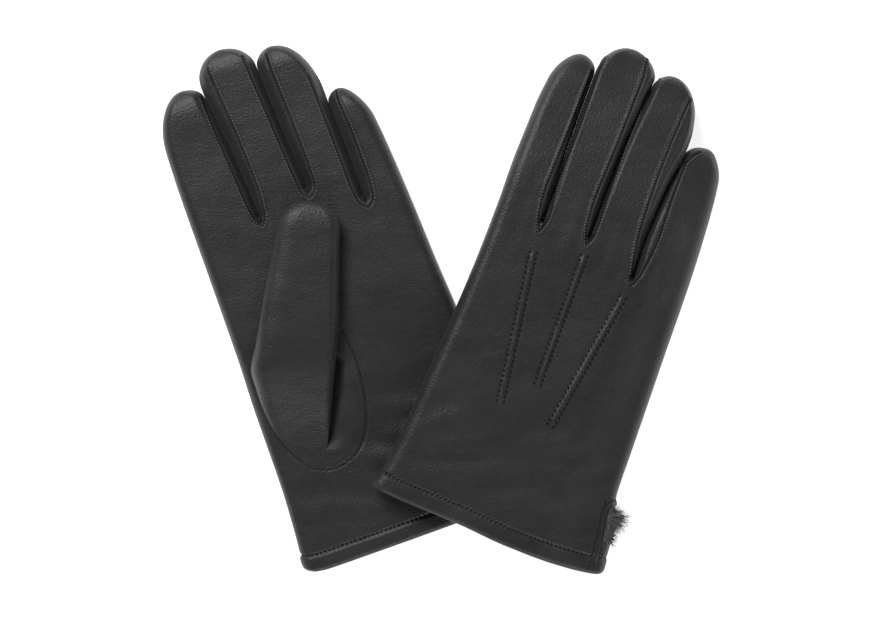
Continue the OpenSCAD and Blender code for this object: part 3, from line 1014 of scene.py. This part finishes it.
def piping(name, points, radius, sides=8):
    """A round cord of leather along 3-D points, in metres."""
    points = np.array(points)
    way = np.gradient(points, axis=0)
    way /= np.linalg.norm(way, axis=1, keepdims=True)
    across = np.cross(way, (0, 0, 1))
    across /= np.linalg.norm(across, axis=1, keepdims=True)
    up = np.cross(across, way)
    a = np.linspace(0, 2 * math.pi, sides, endpoint=False)
    rings = points[:, None] + radius * (across[:, None] * np.cos(a)[None, :, None]
                                        + up[:, None] * np.sin(a)[None, :, None])
    faces = tube_faces(len(points), sides)
    faces += [list(range(sides))[::-1], [(len(points) - 1) * sides + k for k in range(sides)]]
    piece = make_piece(name, rings.reshape(-1, 3), faces, LEATHER)
    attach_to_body(piece, "right_hand")
    return piece


def build_vent(glove, tree):
    """The slit at the little-finger side of the cuff: its piped edges and the pile that shows."""
    def on_leather(u, v, sunk):
        """The spot over (u, v), moved in from the side until there is leather under it."""
        for back in np.arange(0, 8, 0.25):
            hit, _, _, _ = tree.ray_cast(Vector(glove.spot(u - back, v, 60)), Vector((0, 0, -1)))
            if hit is not None:
                return hit.x, hit.y, hit.z - sunk * MM
        return glove.spot(u, v, RIGHT_LIFT)

    upper = [on_leather(u, v, -0.35) for u, v in trail(VENT_EDGE, 0.8)]
    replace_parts(piping("right_vent_piping", upper, PIPING_R * MM), "right_vent_binding")
    flap = [on_leather(u, v, 0.2) for u, v in trail(FLAP_EDGE, 0.6)]
    piping("right_vent_flap_piping", flap, PIPING_R * MM)
    rng = np.random.default_rng(41)
    edge_u = curve([(v, u) for u, v in VENT_EDGE])
    turn = math.radians(glove.data["turn"])
    roots, ways, lengths = [], [], []
    for _ in range(TUFT_STRANDS):
        v = rng.uniform(16, 32)
        inner = float(edge_u(v)) + 0.8
        u = rng.uniform(inner, max(inner, float(glove.side[4](v))))
        roots.append(on_leather(u, v, 0.3))
        clump = math.exp(-(((v - 27.5) / 2.4) ** 2))
        angle = turn + rng.normal(0.05, 0.4) + 0.03 * (v - 25)
        ways.append((math.cos(angle), math.sin(angle), rng.normal(0.05, 0.2)))
        lengths.append((rng.uniform(1.0, 4.5) + clump * rng.uniform(2, 8)) * MM)
    tuft = strands("right_vent_pile", roots, ways, lengths, TUFT_R * MM, 43, FUR)
    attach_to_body(tuft, "right_hand")


# ---------------------------------------------------------------- camera, light and floor
VIEW_WIDTH = 442.5 * MM
VIEW_MIDDLE = (1.76 * MM, 2.24 * MM)
GLOVE_MIDDLE_Z = 14 * MM
WORLD_LIGHT = 0.17
# name, place in metres, size in metres and power in watts; all are aimed at the middle
LIGHTS = [("key_light", (-0.6, 1.0, 1.2), (0.8, 0.5), 22),
          ("low_light", (0.1, -1.25, 0.6), (1.2, 0.5), 9),
          ("rim_light", (1.3, 0.2, 0.4), (0.6, 0.6), 2)]


def camera():
    data = bpy.data.cameras.new("camera")
    data.lens = 100
    data.sensor_width = 36
    obj = bpy.data.objects.new("camera", data)
    obj.location = (*VIEW_MIDDLE, GLOVE_MIDDLE_Z + VIEW_WIDTH * data.lens / data.sensor_width)
    scene.collection.objects.link(obj)
    scene.camera = obj


def area_light(name, place, target, size, power):
    data = bpy.data.lights.new(name, "AREA")
    data.shape = "RECTANGLE"
    data.size, data.size_y = size
    data.energy = power
    obj = bpy.data.objects.new(name, data)
    obj.location = place
    obj.rotation_euler = (Vector(target) - Vector(place)).to_track_quat("-Z", "Y").to_euler()
    scene.collection.objects.link(obj)


def floor():
    mesh = bpy.data.meshes.new("floor")
    half = 6.0
    corners = [(-half, -half, 0), (half, -half, 0), (half, half, 0), (-half, half, 0)]
    mesh.from_pydata(corners, [], [(0, 1, 2, 3)])
    obj = bpy.data.objects.new("floor", mesh)
    obj.location.z = -0.0002
    scene.collection.objects.link(obj)
    mat, _, _, shader = node_tree("pale_floor")
    shader.inputs["Base Color"].default_value = (0.9, 0.9, 0.9, 1)
    shader.inputs["Roughness"].default_value = 0.9
    shader.inputs["Emission Color"].default_value = (1, 1, 1, 1)
    shader.inputs["Emission Strength"].default_value = 0.75
    mesh.materials.append(mat)


def light():
    world = bpy.data.worlds.new("studio")
    scene.world = world
    world.use_nodes = True
    back = world.node_tree.nodes["Background"]
    back.inputs["Color"].default_value = (1, 1, 1, 1)
    back.inputs["Strength"].default_value = WORLD_LIGHT
    for name, place, size, power in LIGHTS:
        area_light(name, place, (0, 0, 0), size, power)
    scene.view_settings.view_transform = "Standard"


camera()
light()
floor()
build("left")
build("right")
